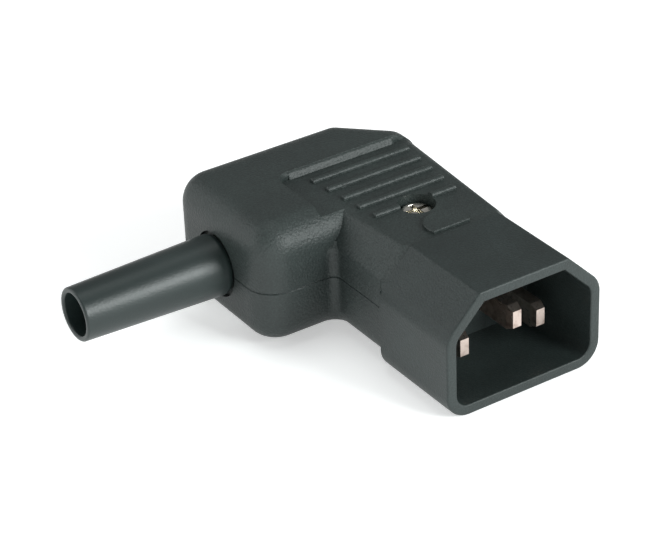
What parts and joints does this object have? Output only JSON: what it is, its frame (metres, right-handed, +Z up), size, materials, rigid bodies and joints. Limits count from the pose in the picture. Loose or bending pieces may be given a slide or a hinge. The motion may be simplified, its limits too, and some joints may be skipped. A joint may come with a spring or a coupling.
{
  "type": "right-angle iec plug",
  "caption": "Rewirable right-angle mains inlet plug: a six-sided shroud with three blades, a screwed two-shell housing and a tapered cable sleeve at right angles to it.",
  "frame": {"origin": "middle of the bounding box, at the height of the shroud's underside", "axes": "+X out of the plug's mouth, -Y out of the cable sleeve, +Z up from the shroud's wide side to its cut corners"},
  "size_m": [0.0572, 0.0644, 0.0209],
  "materials": {
    "shell": "fine moulded grain",
    "shroud": "fine moulded grain",
    "clamp": "plain moulded",
    "sleeve": "smooth and slightly glossy",
    "contact": "nickel plated",
    "terminal": "turned and sawn",
    "leaf": "rolled sheet",
    "screw": "nickel plated"
  },
  "bodies": {
    "root": {"upper_shell": "shell", "lower_shell": "shell", "shroud": "shroud", "kink_sleeve": "sleeve", "line_pin": "contact", "neutral_pin": "contact", "earth_pin": "contact", "line_terminal": "terminal", "neutral_terminal": "terminal", "earth_terminal": "terminal", "line_terminal_screw": "screw", "neutral_terminal_screw": "screw", "earth_terminal_screw": "screw", "line_wire_leaf": "leaf", "neutral_wire_leaf": "leaf", "earth_wire_leaf": "leaf", "cord_clamp": "clamp", "left_clamp_screw": "screw", "right_clamp_screw": "screw", "left_insert": "terminal", "right_insert": "terminal", "housing_screw": "screw", "housing_nut": "screw"}
  },
  "joints": []
}
